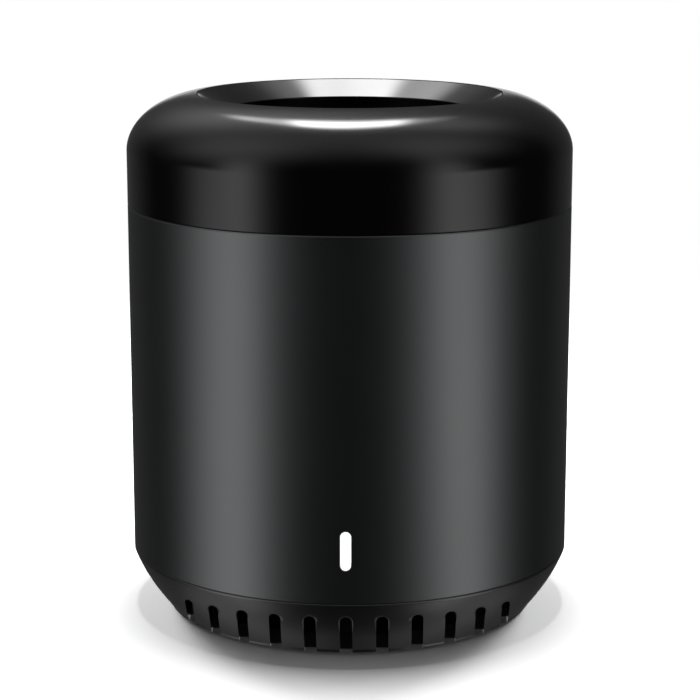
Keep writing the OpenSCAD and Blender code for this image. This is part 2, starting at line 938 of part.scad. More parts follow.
module link_sockets() {
    pocket_z = socket_h - ribbon_grip - free_gap;
    board_gap = ir_board_under_z - board_z;
    color("ivory")
        on_board(link_share)
            difference() {
                for (z = [0, board_gap - socket_h])
                    translate([0, 0, z])
                        block(socket_w, socket_d, socket_h);
                translate([0, 0, pocket_z])
                    block(ribbon_w + 2 * free_gap, ribbon_t + 2 * free_gap,
                        board_gap - 2 * pocket_z);
            }
}

// Ribbon that bows forwards between the sockets
module link_ribbon() {
    low_z = socket_h;
    high_z = ir_board_under_z - board_z - socket_h;
    path = concat(
        [[0, low_z - ribbon_grip]],
        [
            for (k = [0:ribbon_steps])
                let (t = k / ribbon_steps)
                [-ribbon_slack * pow(sin(180 * t), 2), low_z + t * (high_z - low_z)]
        ],
        [[0, high_z + ribbon_grip]]
    );
    color("lightgray")
        on_board(link_share)
            translate([-ribbon_w / 2, 0, 0])
                rotate([90, 0, 90])
                    linear_extrude(ribbon_w)
                        polygon(concat(
                            [for (p = path) p + [ribbon_t / 2, 0]],
                            [for (p = reverse(path)) p - [ribbon_t / 2, 0]]
                        ));
}

// Infrared parts

module ir_leds() {
    dome_r = emitter_d / 2;
    color("lightsteelblue")
        at_emitters()
            translate([emitter_back_r, 0, emitter_z])
                rotate([0, 90, 0]) {
                    cylinder(d = emitter_flange_d, h = emitter_flange_t);
                    cylinder(r = dome_r, h = emitter_len - dome_r);
                    translate([0, 0, emitter_len - dome_r])
                        sphere(dome_r);
                }
}

module ir_led_leads() {
    drop = emitter_z - ir_board_under_z + lead_tail;
    color("silver")
        at_emitters()
            for (side = [-1, 1])
                translate([lead_r, side * lead_pitch / 2, emitter_z - lead_t / 2]) {
                    translate([-lead_t / 2, -lead_t / 2, 0])
                        cube([lead_bend + lead_t / 2, lead_t, lead_t]);
                    translate([0, 0, lead_t - drop])
                        block(lead_t, lead_t, drop);
                }
}

module ir_receiver() {
    color("black")
        translate([0, -receiver_out, ir_board_z]) {
            block(receiver_w, receiver_d, receiver_h);
            translate([0, -receiver_d / 2, receiver_h / 2])
                sphere(receiver_lens_r);
        }
}

module receiver_leads() {
    color("silver")
        for (k = [-1:1])
            translate([k * lead_pitch, -receiver_out, ir_board_under_z - lead_tail])
                block(lead_t, lead_t, ir_board_t + lead_tail);
}

housing_sleeve();
top_cap();
dish_ring();
dish_floor();
vent_base();
foot_ring();
base_screws();
ballast_disc();
status_window();
port_bezel();
inner_frame();
main_board();
usb_shell();
usb_tongue();
usb_contacts();
reset_switch();
reset_plunger();
wifi_module();
wifi_chip();
wifi_shield();
wifi_antenna();
voltage_regulator();
capacitors();
power_inductor();
driver_transistors();
chip_parts();
status_led();
link_sockets();
link_ribbon();
ir_board();
ir_leds();
ir_led_leads();
ir_receiver();
receiver_leads();
board_screws();
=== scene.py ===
"""Table-top infrared remote hub: visible pieces, finishes and studio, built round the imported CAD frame."""

import math

import bmesh
import bpy
from bpy.props import FloatProperty, FloatVectorProperty, IntProperty, PointerProperty
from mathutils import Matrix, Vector


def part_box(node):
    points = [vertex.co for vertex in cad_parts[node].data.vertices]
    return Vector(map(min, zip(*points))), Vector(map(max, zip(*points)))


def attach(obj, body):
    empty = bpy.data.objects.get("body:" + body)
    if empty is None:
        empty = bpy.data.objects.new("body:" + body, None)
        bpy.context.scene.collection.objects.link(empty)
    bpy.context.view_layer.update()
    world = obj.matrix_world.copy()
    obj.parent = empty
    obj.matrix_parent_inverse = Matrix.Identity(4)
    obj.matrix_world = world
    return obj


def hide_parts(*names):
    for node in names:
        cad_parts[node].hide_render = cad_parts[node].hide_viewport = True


bl_info = {
    "name": "Infrared Remote Hub",
    "version": (1, 0, 0),
    "blender": (4, 5, 0),
    "location": "View3D > Sidebar > Hub",
    "description": "Builds a table-top infrared remote hub: its shells, window, inlet, finishes and studio",
    "category": "Object",
}

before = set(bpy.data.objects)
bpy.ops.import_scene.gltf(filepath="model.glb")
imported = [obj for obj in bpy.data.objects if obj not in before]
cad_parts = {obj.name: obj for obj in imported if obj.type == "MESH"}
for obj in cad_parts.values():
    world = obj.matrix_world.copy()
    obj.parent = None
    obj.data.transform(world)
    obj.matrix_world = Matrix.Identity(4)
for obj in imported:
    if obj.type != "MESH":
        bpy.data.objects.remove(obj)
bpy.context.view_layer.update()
SLEEVE_LOW, SLEEVE_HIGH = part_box("housing_sleeve")
CAP_LOW, CAP_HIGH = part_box("top_cap")
_, RING_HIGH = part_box("dish_ring")
DISC_LOW, DISC_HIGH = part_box("dish_floor")
BASE_LOW, BASE_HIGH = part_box("vent_base")
_, FOOT_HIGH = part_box("foot_ring")
WINDOW_LOW, WINDOW_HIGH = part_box("status_window")
SHELL_LOW, SHELL_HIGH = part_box("usb_shell")
PLUNGER_LOW, PLUNGER_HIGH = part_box("reset_plunger")

MM = 0.001
HOUSING = "housing"  # the body that every piece here rides on
TURNS = 360  # sides of a turned piece
SHARP = math.radians(33)  # edges sharper than this aren't shaded smooth
INLET_Z = (SHELL_LOW.z + SHELL_HIGH.z) / 2
WINDOW_Z = (WINDOW_LOW.z + WINDOW_HIGH.z) / 2


def length(name, description, default):
    """Length property in metres."""
    return FloatProperty(
        name=name, description=description, default=default, min=0, unit="LENGTH", precision=5
    )


def share(name, description, default, high=1):
    """Plain number property."""
    return FloatProperty(name=name, description=description, default=default, min=0, max=high, precision=4)


def tint(name, description, default):
    """Colour property."""
    return FloatVectorProperty(
        name=name, description=description, default=default, min=0, max=1, size=3, subtype="COLOR"
    )


class HubShape(bpy.types.PropertyGroup):
    """Sizes of the visible pieces: the CAD model's, but for the base's band and the window's width."""

    body_r: length("Body radius", "Outer radius of sleeve and cap", SLEEVE_HIGH.x)
    wall: length("Wall", "Wall of sleeve and cap", 1.8 * MM)
    slip: length("Slip gap", "Gap where one piece slips into another", 0.1 * MM)
    edge: length("Edge rounding", "Rounding of the shells' outer edges", 0.16 * MM)
    shoulder_w: length("Shoulder width", "From the cap's side in to its highest line", 9.5 * MM)
    shoulder_h: length("Shoulder height", "Height of the rounded shoulder", 6.95 * MM)
    shoulder_power: share("Shoulder power", "Power of the shoulder's curve, where 2 is an ellipse", 1.92, 4)
    lip_wall: length("Lip wall", "Wall of the cap's lip", 1.5 * MM)
    ledge: length("Ledge", "Thickness of the cap's ledge under the dish ring", 1.6 * MM)
    rim_r: length("Dish radius", "Outer radius of the dish ring", RING_HIGH.x)
    funnel_w: length("Funnel width", "From the ring's edge in to the hole", 3.8 * MM)
    funnel_drop: length("Funnel drop", "Fall of the funnel to the hole's edge", 2.05 * MM)
    well_wall: length("Well wall", "Wall of the well", 1.6 * MM)
    taper: length("Base taper", "How far the flank comes in to its bottom edge", 4.3 * MM)
    band_h: length("Base band", "Upright band at the top of the flank", 0.3 * MM)
    bulge: length("Flank bulge", "Outward bulge of the flank at its middle", 0.4 * MM)
    foot_edge: length("Bottom edge", "Rounding of the base's bottom edge", 0.5 * MM)
    foot_w: length("Foot width", "Width of the rubber ring", 7 * MM)
    floor_t: length("Floor", "Thickness of the base's floor", 1.8 * MM)
    base_wall: length("Base wall", "Level thickness of the flank at the floor", 2.3 * MM)
    rim_wall: length("Rim wall", "Wall of the base's rim in the sleeve", 1.4 * MM)
    rim_h: length("Rim height", "Height of that rim above the sleeve's edge", 3 * MM)
    screw_reach: length("Screw place", "From the middle planes to the screws", 12.02 * MM)
    boss_r: length("Boss radius", "Radius of the base's screw bosses", 3.5 * MM)
    screw_hole_r: length("Screw hole", "Radius of the bosses' holes", 1.35 * MM)
    head_hole_r: length("Head recess", "Radius of the recesses for the screw heads", 2.3 * MM)
    head_z: length("Head seat", "Height of the seats under the screw heads", 3.1 * MM)
    slots: IntProperty(name="Slots", description="Vent slots in each row", default=11, min=1, max=15)
    slot_pitch: share("Slot pitch", "Degrees between neighbouring slots", 9.2, 20)
    slot_w: length("Slot width", "Width of the middle slot", 1.5 * MM)
    slot_top: length("Slot top", "Height of the slots' round tops above the base's underside", 5.9 * MM)
    slot_fall: share("Slot fall", "Degrees that the slots fall towards the middle", 6.4, 20)
    slot_ring_r: length("Slot circle", "Radius of the circle that the slots are spaced on", 27.2 * MM)
    slot_in_r: length("Slot depth", "Radius that the slots reach in to", 21.8 * MM)
    slot_edge: length("Slot edge", "Bevel of the slots' edges on the flank", 0.13 * MM)
    window_w: length("Window width", "Width of the status window", 1.22 * MM)
    window_h: length("Window height", "Height of the status window", 4.7 * MM)
    window_gap: length("Window gap", "Gap round the window", 0.04 * MM)
    window_edge: length("Window edge", "Bevel of the window's opening", 0.06 * MM)
    port_w: length("Recess width", "Inner width of the recess round the power socket", 20 * MM)
    port_h: length("Recess height", "Inner height of that recess", 9 * MM)
    port_corner: length("Recess corner", "Corner radius of the recess", 2.2 * MM)
    port_wall: length("Recess wall", "Wall of the recess", 0.8 * MM)
    port_depth: length("Recess depth", "From the sleeve's outside to the recess's panel", 4.4 * MM)
    port_panel_t: length("Panel", "Thickness of the recess's panel", 1.5 * MM)
    port_flange_w: length("Bezel flange", "Width of the recess's flange inside the sleeve", 1.1 * MM)
    port_flange_t: length("Bezel flange thickness", "Thickness of that flange", 1 * MM)
    pin_r: length("Pinhole", "Radius of the reset pinhole", 0.75 * MM)
    sheet: length("Socket sheet", "Sheet thickness of the socket's shell", 0.25 * MM)


class HubFinish(bpy.types.PropertyGroup):
    """Colours of the visible finishes."""

    sleeve: tint("Sleeve", "Satin charcoal of the sleeve", (0.0007, 0.0007, 0.0008))
    cap: tint("Cap", "Gloss black of the cap", (0.0016, 0.0016, 0.0017))
    dish: tint("Dish", "Satin black of the dish", (0.003, 0.003, 0.0032))
    base: tint("Base", "Satin black of the base", (0.002, 0.002, 0.0021))
    rubber: tint("Rubber", "Foot ring", (0.012, 0.012, 0.0125))
    window: tint("Window", "Milky status window", (0.9, 0.9, 0.9))


class HubStudio(bpy.types.PropertyGroup):
    """Camera and lamps."""

    distance: length("Camera distance", "From the hub's axis to the camera", 0.27497)
    height: length("Camera height", "Height of the camera above the floor", 0.092607)
    pitch: share("Camera pitch", "Degrees that the camera looks down", 12.243, 90)
    turn: share("Camera turn", "Degrees that the camera stands round to the right", 1, 10)
    lens: share("Lens", "Focal length on a 36 mm sensor, in millimetres", 112.58, 300)
    key: share("Top lamp", "Watts of the overhead lamp", 4.2, 100)
    side: share("Side lamps", "Watts of each lamp behind the sides", 1.3, 100)
    fill: share("Fill lamps", "Watts of each low lamp that lights the floor beside the base", 0.31, 10)
    sky: share("Sky", "Level of the light from all round", 0.23, 10)


# Mesh making


def rounded(corners, steps=5):
    """Closed outline through corners given as (x, y, radius)."""
    points = []
    for k, (x, y, radius) in enumerate(corners):
        here = Vector((x, y))
        if radius <= 0:
            points.append(here)
            continue
        before = (Vector(corners[k - 1][:2]) - here).normalized()
        after = (Vector(corners[(k + 1) % len(corners)][:2]) - here).normalized()
        half = before.angle(after) / 2
        middle = here + (before + after).normalized() * radius / math.sin(half)
        start = here + before * radius / math.tan(half)
        arm = start - middle
        sweep = math.pi - 2 * half
        if before.x * after.y - before.y * after.x > 0:
            sweep = -sweep
        for j in range(steps + 1):
            c, s = math.cos(sweep * j / steps), math.sin(sweep * j / steps)
            points.append(middle + Vector((arm.x * c - arm.y * s, arm.x * s + arm.y * c)))
    return [tuple(p) for p in points]


def mesh_from(bm, name):
    """Mesh of bm with its faces turned outwards and smooth up to sharp edges."""
    bmesh.ops.remove_doubles(bm, verts=bm.verts, dist=1e-7)
    bmesh.ops.recalc_face_normals(bm, faces=bm.faces)
    mesh = bpy.data.meshes.new(name)
    bm.to_mesh(mesh)
    bm.free()
    mesh.shade_smooth()
    mesh.set_sharp_from_angle(angle=SHARP)
    return mesh


def held(profile, near=0.02 * MM, long=0.3 * MM):
    """Profile with points added close to the ends of its long sides, so that they look flat."""
    points = []
    for start, end in zip(profile, profile[1:] + profile[:1]):
        points.append(start)
        here, there = Vector(start), Vector(end)
        side = (there - here).length
        if side > long:
            points += [tuple(here.lerp(there, t)) for t in (near / side, 1 - near / side)]
    return points


def turned(name, profile):
    """Mesh turned round the upright axis from a closed profile of (radius, height)."""
    bm = bmesh.new()
    rings = []
    for r, z in held(profile):
        count = 1 if r < 1e-6 else TURNS
        angles = [2 * math.pi * k / TURNS for k in range(count)]
        rings.append([bm.verts.new((r * math.cos(a), r * math.sin(a), z)) for a in angles])
    for low, high in zip(rings, rings[1:] + rings[:1]):
        for k in range(TURNS if len(low) + len(high) > 2 else 0):
            j = k + 1
            ring = [low[k % len(low)], low[j % len(low)], high[j % len(high)], high[k % len(high)]]
            bm.faces.new(list(dict.fromkeys(ring)))
    return mesh_from(bm, name)


def lofted(name, *stacks):
    """Mesh of closed bars, each a list of rings with as many points each."""
    bm = bmesh.new()
    for rings in stacks:
        rows = [[bm.verts.new(p) for p in ring] for ring in rings]
        for low, high in zip(rows, rows[1:]):
            for k in range(len(low)):
                j = (k + 1) % len(low)
                bm.faces.new((low[k], low[j], high[j], high[k]))
        bm.faces.new(rows[0])
        bm.faces.new(rows[-1])
    return mesh_from(bm, name)


def combined(mesh, other, operation):
    """Mesh after a boolean with another one; both are used up."""
    block = bpy.data.objects.new("block", mesh)
    tool = bpy.data.objects.new("tool", other)
    for obj in (block, tool):
        bpy.context.scene.collection.objects.link(obj)
    modifier = block.modifiers.new("cut", "BOOLEAN")
    modifier.operation = operation
    modifier.solver = "EXACT"
    modifier.object = tool
    shaped = block.evaluated_get(bpy.context.evaluated_depsgraph_get())
    result = bpy.data.meshes.new_from_object(shaped)
    name = mesh.name
    for obj in (block, tool):
        bpy.data.objects.remove(obj)
    bpy.data.meshes.remove(mesh)
    bpy.data.meshes.remove(other)
    result.name = name
    result.shade_smooth()
    result.set_sharp_from_angle(angle=SHARP)
    return result


def pill(w, h, steps=10):
    """Outline in X and Z of a bar with round ends, centred."""
    r = w / 2
    angles = [math.pi * k / steps for k in range(steps + 1)]
    top = [(r * math.cos(a), h / 2 - r + r * math.sin(a)) for a in angles]
    return top + [(-x, -z) for x, z in top]


def slab(w, h, corner, steps=6, across=16):
    """Outline in X and Z of a rectangle with round corners, centred, its long edges in short pieces."""
    x, z = w / 2, h / 2
    ends = rounded([(x, -z, corner), (x, z, corner), (-x, z, corner), (-x, -z, corner)], steps)
    points = []
    for k, (px, pz) in enumerate(ends):
        points.append((px, pz))
        if (k + 1) % (2 * steps + 2) == 0:
            qx, qz = ends[(k + 1) % len(ends)]
            points += [(px + (qx - px) * j / across, pz + (qz - pz) * j / across) for j in range(1, across)]
    return points


def bar(outline, x, z, y):
    """Ring of an X and Z outline set at (x, z), at depth y or where y, a function of X and Z, puts it."""
    place = y if callable(y) else lambda *_: y
    return [(x + p, place(x + p, z + q), z + q) for p, q in outline]


def on_body(r, side):
    """Depth function that lies on the upright cylinder of radius r, on the front (-1) or the rear (1)."""
    return lambda x, z: side * math.sqrt(r * r - x * x)


def add_piece(name, mesh, finish, node):
    """Object for a mesh that rides on the housing and stands for a CAD node."""
    piece = bpy.data.objects.new(name, mesh)
    bpy.context.scene.collection.objects.link(piece)
    mesh.materials.clear()
    mesh.materials.append(finish)
    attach(piece, HOUSING)
    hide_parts(node)


# Shader making


class Wire:
    """A node's output socket, on which Python's arithmetic adds Math nodes."""

    def __init__(self, finish, socket):
        self.finish = finish
        self.socket = socket

    def math(self, operation, *values):
        return self.finish.add("ShaderNodeMath", {"operation": operation}, dict(enumerate(values)))

    def __add__(self, other):
        return self.math("ADD", self, other)

    def __radd__(self, other):
        return self.math("ADD", other, self)

    def __sub__(self, other):
        return self.math("SUBTRACT", self, other)

    def __rsub__(self, other):
        return self.math("SUBTRACT", other, self)

    def __mul__(self, other):
        return self.math("MULTIPLY", self, other)

    def __rmul__(self, other):
        return self.math("MULTIPLY", other, self)

    def __truediv__(self, other):
        return self.math("DIVIDE", self, other)

    def __rtruediv__(self, other):
        return self.math("DIVIDE", other, self)

    def __pow__(self, other):
        return self.math("POWER", self, other)

    def __rpow__(self, other):
        return self.math("POWER", other, self)

    def __gt__(self, other):
        return self.math("GREATER_THAN", self, other)

    def __lt__(self, other):
        return self.math("LESS_THAN", self, other)

    def at_least(self, other):
        """The larger of this value and another."""
        return self.math("MAXIMUM", self, other)

    def smooth(self, low, high):
        """0 below low, 1 above high, and smooth between them."""
        settings = {"interpolation_type": "SMOOTHSTEP"}
        inputs = {"Value": self, "From Min": low, "From Max": high}
        return self.finish.add("ShaderNodeMapRange", settings, inputs)

    def between(self, low, low_soft, high, high_soft):
        """1 between low and high and 0 outside, each end as soft as its number says."""
        rise = self.smooth(low - low_soft, low + low_soft)
        fall = self.smooth(high - high_soft, high + high_soft)
        return rise * (1 - fall)


class Finish:
    """A node tree being built, with one method that adds any node."""

    def __init__(self, tree):
        self.tree = tree
        tree.nodes.clear()

    def add(self, kind, settings=None, inputs=None, out=0):
        """Adds a node with its settings and its inputs, and returns one of its outputs."""
        node = self.tree.nodes.new(kind)
        for key, value in (settings or {}).items():
            setattr(node, key, value)
        for key, value in (inputs or {}).items():
            if isinstance(value, Wire):
                self.tree.links.new(value.socket, node.inputs[key])
            elif isinstance(node.inputs[key].default_value, float):
                node.inputs[key].default_value = value
            else:
                filled = tuple(value) + (1,) * (len(node.inputs[key].default_value) - len(value))
                node.inputs[key].default_value = filled
        return Wire(self, node.outputs[out]) if len(node.outputs) else None

    def place(self):
        """The point on the surface, in millimetres of the shared frame."""
        metres = self.add("ShaderNodeTexCoord", out="Object")
        return self.add("ShaderNodeVectorMath", {"operation": "SCALE"}, {0: metres, "Scale": 1000})

    def split(self, vector):
        """X, Y and Z of a vector."""
        node = self.add("ShaderNodeSeparateXYZ", inputs={0: vector}).socket.node
        return [Wire(self, socket) for socket in node.outputs]

    def noise(self, vector, size, detail=2, roughness=0.5):
        """Noise from 0 to 1 whose features are about size millimetres wide."""
        inputs = {"Vector": vector, "Scale": 1 / size, "Detail": detail, "Roughness": roughness}
        return self.add("ShaderNodeTexNoise", inputs=inputs)

    def stretched(self, vector, x, y, z):
        """The vector with its parts multiplied."""
        return self.add("ShaderNodeVectorMath", {"operation": "MULTIPLY"}, {0: vector, 1: (x, y, z)})

    def blend(self, factor, first, second):
        """Colour between two colours."""
        return self.add("ShaderNodeMix", {"data_type": "RGBA"}, {0: factor, 6: first, 7: second}, out=2)

    def bump(self, height, depth):
        """Normal bent by a height from 0 to 1 that is depth millimetres deep."""
        inputs = {"Height": height, "Distance": depth * MM, "Strength": 1.0}
        return self.add("ShaderNodeBump", inputs=inputs)

    def surface(self, inputs):
        """Closes the tree with one Principled shader."""
        shader = self.add("ShaderNodeBsdfPrincipled", inputs=inputs)
        self.add("ShaderNodeOutputMaterial", inputs={"Surface": shader})


def material(name):
    """New material, the tree that builds it and the point on the surface."""
    made = bpy.data.materials.new(name)
    made.use_nodes = True
    f = Finish(made.node_tree)
    return made, f, f.place()


def toned(color, by):
    """A colour times a number."""
    return tuple(c * by for c in color)


def satin_coat(name, color, roughness=0.36):
    """Fine-grained satin coat: tiny grain in the normal, soft drift in colour and roughness."""
    made, f, p = material(name)
    grain = f.noise(p, 0.16, detail=3, roughness=0.6)
    cloud = f.noise(p, 7, detail=2)
    f.surface({
        "Base Color": f.blend(grain * 0.6 + cloud * 0.4, toned(color, 0.8), toned(color, 1.2)),
        "Roughness": roughness - 0.03 + 0.04 * grain + 0.02 * cloud,
        "IOR": 1.6,
        "Specular IOR Level": 1.0,
        "Specular Tint": (0.947, 0.988, 1),
        "Normal": f.bump(grain, 0.006),
    })
    return made


def polished_moulding(name, color, roughness=0.15):
    """Polished plastic with a faint ripple and fine rub marks in its gloss."""
    made, f, p = material(name)
    ripple = f.noise(p, 9, detail=1)
    rub = f.noise(f.stretched(p, 1, 1, 6), 0.7, detail=4, roughness=0.65)
    f.surface({
        "Base Color": f.blend(ripple, toned(color, 0.85), toned(color, 1.15)),
        "Roughness": roughness - 0.015 + 0.03 * rub,
        "Specular IOR Level": 0.35,
        "Normal": f.bump(ripple, 0.004),
    })
    return made


def spun_satin(name, color, roughness=0.14):
    """Satin black with fine turning marks round the axis and a faint haze."""
    made, f, p = material(name)
    x, y, z = f.split(p)
    radius = (x * x + y * y) ** 0.5
    line = f.add("ShaderNodeCombineXYZ", inputs={0: radius * 9, 1: z * 9})
    marks = f.noise(line, 1, detail=3, roughness=0.6)
    haze = f.noise(p, 3, detail=3)
    f.surface({
        "Base Color": f.blend(haze, toned(color, 0.8), toned(color, 1.2)),
        "Specular IOR Level": 0.19,
        "Roughness": roughness - 0.02 + 0.02 * marks + 0.02 * haze,
        "Normal": f.bump(marks, 0.0015),
    })
    return made


def moulded(name, color, roughness=0.5, grain=0.25, depth=0.008, specular=0.5):
    """Moulded plastic or rubber with a spark-eroded grain."""
    made, f, p = material(name)
    fine = f.noise(p, grain, detail=4, roughness=0.6)
    cloud = f.noise(p, 5, detail=2)
    f.surface({
        "Base Color": f.blend(fine * 0.5 + cloud * 0.5, toned(color, 0.8), toned(color, 1.2)),
        "Roughness": roughness - 0.04 + 0.05 * fine + 0.03 * cloud,
        "Specular IOR Level": specular,
        "Normal": f.bump(fine, depth),
    })
    return made


def milky_window(name, color):
    """Milky diffuser that is lit from behind."""
    made, f, p = material(name)
    cloud = f.noise(p, 0.8, detail=2)
    glow = f.blend(cloud, (0.94, 0.95, 0.96), (1, 1, 1))
    f.surface({
        "Base Color": f.blend(cloud, toned(color, 0.97), color),
        "Roughness": 0.3 + 0.05 * cloud,
        "Emission Color": glow,
        "Emission Strength": 1.0,
    })
    return made


def sheet_metal(name, color, roughness=0.3, streak=(1, 1, 8)):
    """Rolled or plated metal with fine streaks and a little tarnish."""
    made, f, p = material(name)
    lines = f.noise(f.stretched(p, *streak), 0.6, detail=4, roughness=0.65)
    tarnish = f.noise(p, 2.5, detail=3)
    f.surface({
        "Base Color": f.blend(tarnish, toned(color, 0.82), color),
        "Metallic": 1.0,
        "Roughness": roughness - 0.05 + 0.08 * lines + 0.05 * tarnish,
        "Normal": f.bump(lines, 0.004),
    })
    return made


def circuit_board(name, mask):
    """Solder mask over copper: straight tracks, round pads and a fine weave under them."""
    made, f, p = material(name)
    x, y, _ = f.split(p)
    cell = f.add("ShaderNodeVectorMath", {"operation": "SNAP"}, {0: p, 1: (2.4, 2.4, 50)})
    pick = f.add("ShaderNodeTexWhiteNoise", {"noise_dimensions": "3D"}, {"Vector": cell})
    pitch, half_track = 0.6, 0.16
    way = pick > 0.5
    across = x.math("PINGPONG", x, pitch) < half_track
    along = y.math("PINGPONG", y, pitch) < half_track
    track = across * way + along * (1 - way)
    dots = {"Vector": f.stretched(p, 1, 1, 0), "Scale": 0.3}
    pad = f.add("ShaderNodeTexVoronoi", {"feature": "F1"}, dots, out="Distance") < 0.08
    weave = f.noise(p, 0.25, detail=2)
    copper = f.blend(track, toned(mask, 0.8), toned(mask, 1.9))
    f.surface({
        "Base Color": f.blend(pad, copper, (0.6, 0.58, 0.5)),
        "Metallic": pad * 0.9,
        "Roughness": 0.34 + 0.08 * weave,
        "Normal": f.bump(track * 0.7 + pad * 0.3 + weave * 0.1, 0.03),
    })
    return made


def tinted_epoxy(name, color):
    """Clear tinted epoxy, filled enough to hide what it holds."""
    made, f, p = material(name)
    cloud = f.noise(p, 2, detail=2)
    f.surface({
        "Base Color": f.blend(cloud, toned(color, 0.85), color),
        "Roughness": 0.08 + 0.05 * cloud,
        "Coat Weight": 0.5 + 0.2 * cloud,
    })
    return made


# Shells


def shoulder(s, shrink, low_r):
    """Points up the cap's shoulder, its wall shrunk, until it reaches low_r."""
    w, h = s.shoulder_w - shrink, s.shoulder_h - shrink
    crest_r = s.body_r - s.shoulder_w
    foot_z = CAP_HIGH.z - s.shoulder_h
    e = 2 / s.shoulder_power
    last = math.acos(((low_r - crest_r) / w) ** (1 / e))
    steps = 72
    angles = [last * k / steps for k in range(steps + 1)]
    return [(crest_r + w * math.cos(a) ** e, foot_z + h * math.sin(a) ** e) for a in angles]


def flank(s, t):
    """Radius of the base's flank from t = 0 at its bottom edge to 1 at its top."""
    low = s.body_r - s.taper
    return low + t * s.taper + s.bulge * 4 * t * (1 - t)


def flank_at(s, z):
    """Radius of the base's outside at height z."""
    low_z = BASE_LOW.z + s.foot_edge
    top_z = SLEEVE_LOW.z - s.band_h
    t = (z - low_z) / (top_z - low_z)
    return flank(s, min(max(t, 0), 1))


class HUB_OT_sleeve(bpy.types.Operator):
    """Make the satin sleeve with its window opening and its rear opening"""

    bl_idname = "hub.sleeve"
    bl_label = "Sleeve"

    def rear(self, s, grow):
        """Outline of the opening for the inlet's bezel, grown by a bevel."""
        grow += s.port_wall + s.slip
        return slab(s.port_w + 2 * grow, s.port_h + 2 * grow, s.port_corner + grow)

    def execute(self, context):
        s, c = context.scene.hub_shape, context.scene.hub_finish
        inner = s.body_r - s.wall
        mesh = turned("sleeve_shell", rounded([
            (inner, SLEEVE_LOW.z, 0),
            (s.body_r, SLEEVE_LOW.z, s.edge),
            (s.body_r, SLEEVE_HIGH.z, s.edge * 1.3),
            (inner, SLEEVE_HIGH.z, 0),
        ]))
        w, h = s.window_w + 2 * s.window_gap, s.window_h + 2 * s.window_gap
        for outline, z, side, edge in (
            (lambda g: pill(w + 2 * g, h + 2 * g), WINDOW_Z, -1, s.window_edge),
            (lambda g: self.rear(s, g), INLET_Z, 1, s.edge),
        ):
            # from far outside the shell to far inside it, with a bevel where it meets the outside
            cutter = [
                bar(outline(2 * edge), 0, z, side * (s.body_r + 9 * MM)),
                bar(outline(2 * edge), 0, z, on_body(s.body_r + edge, side)),
                bar(outline(0), 0, z, on_body(s.body_r - edge, side)),
                bar(outline(0), 0, z, side * s.body_r * 0.6),
            ]
            mesh = combined(mesh, lofted("cutter", cutter), "DIFFERENCE")
        finish = satin_coat("sleeve_satin", c.sleeve)
        add_piece("sleeve_shell", mesh, finish, "housing_sleeve")
        return {"FINISHED"}


class HUB_OT_cap(bpy.types.Operator):
    """Make the gloss cap with its rounded shoulder and its lip in the sleeve"""

    bl_idname = "hub.cap"
    bl_label = "Cap"

    def execute(self, context):
        s, c = context.scene.hub_shape, context.scene.hub_finish
        seat_r = s.rim_r + s.slip
        hole_z = RING_HIGH.z - s.funnel_drop
        well_r = s.rim_r - s.funnel_w + s.well_wall + s.slip
        slip_r = s.body_r - s.wall - s.slip
        root_z = SLEEVE_HIGH.z + s.lip_wall
        outside = shoulder(s, 0, seat_r)
        outside[-1] = (seat_r + s.slip / 2, outside[-1][1])
        foot = rounded([
            (slip_r, SLEEVE_HIGH.z, 0),
            (s.body_r, SLEEVE_HIGH.z, s.edge),
            (s.body_r, outside[0][1], 0),
        ])[:-1]
        profile = foot + outside + [
            (seat_r, outside[-1][1] - s.slip / 2),
            (seat_r, hole_z),
            (well_r, hole_z),
            (well_r, hole_z - s.ledge),
            (seat_r + s.ledge, hole_z - s.ledge),
        ]
        profile += reversed(shoulder(s, s.wall, seat_r + s.ledge))
        profile += [
            (s.body_r - s.wall, root_z),
            (slip_r - s.lip_wall, root_z),
            (slip_r - s.lip_wall, CAP_LOW.z),
            (slip_r, CAP_LOW.z),
        ]
        mesh = turned("cap_shell", profile)
        add_piece("cap_shell", mesh, polished_moulding("cap_gloss", c.cap), "top_cap")
        return {"FINISHED"}


class HUB_OT_dish(bpy.types.Operator):
    """Make the satin dish ring, its polished well wall and the matt disc that closes the well"""

    bl_idname = "hub.dish"
    bl_label = "Dish"

    def execute(self, context):
        s, c = context.scene.hub_shape, context.scene.hub_finish
        hole_r = s.rim_r - s.funnel_w
        hole_z = RING_HIGH.z - s.funnel_drop
        well_r = hole_r + s.well_wall
        rebate_r = hole_r + s.well_wall / 2
        edge = s.edge
        mesh = turned("dish_funnel", rounded([
            (s.rim_r, hole_z, 0),
            (s.rim_r, RING_HIGH.z, edge / 2),
            (hole_r, hole_z, edge),
            (hole_r, DISC_HIGH.z, 0),
            (rebate_r, DISC_HIGH.z, 0),
            (rebate_r, DISC_LOW.z, 0),
            (well_r, DISC_LOW.z, 0),
            (well_r, hole_z, 0),
        ]))
        add_piece("dish_funnel", mesh, spun_satin("dish_satin", c.dish), "dish_ring")
        mesh.materials.append(polished_moulding("well_gloss", c.cap, roughness=0.2))
        for face in mesh.polygons:
            face.material_index = int(face.center.z < hole_z - edge / 2 or face.normal.z < -0.5)
        disc_r = rebate_r - s.slip
        disc = turned("well_disc", rounded([
            (0, DISC_LOW.z, 0),
            (disc_r, DISC_LOW.z, edge),
            (disc_r, DISC_HIGH.z, edge),
            (0, DISC_HIGH.z, 0),
        ]))
        matt = moulded("well_floor", c.cap, roughness=0.5, grain=0.2, depth=0.003, specular=0.2)
        add_piece("well_disc", disc, matt, "dish_floor")
        return {"FINISHED"}


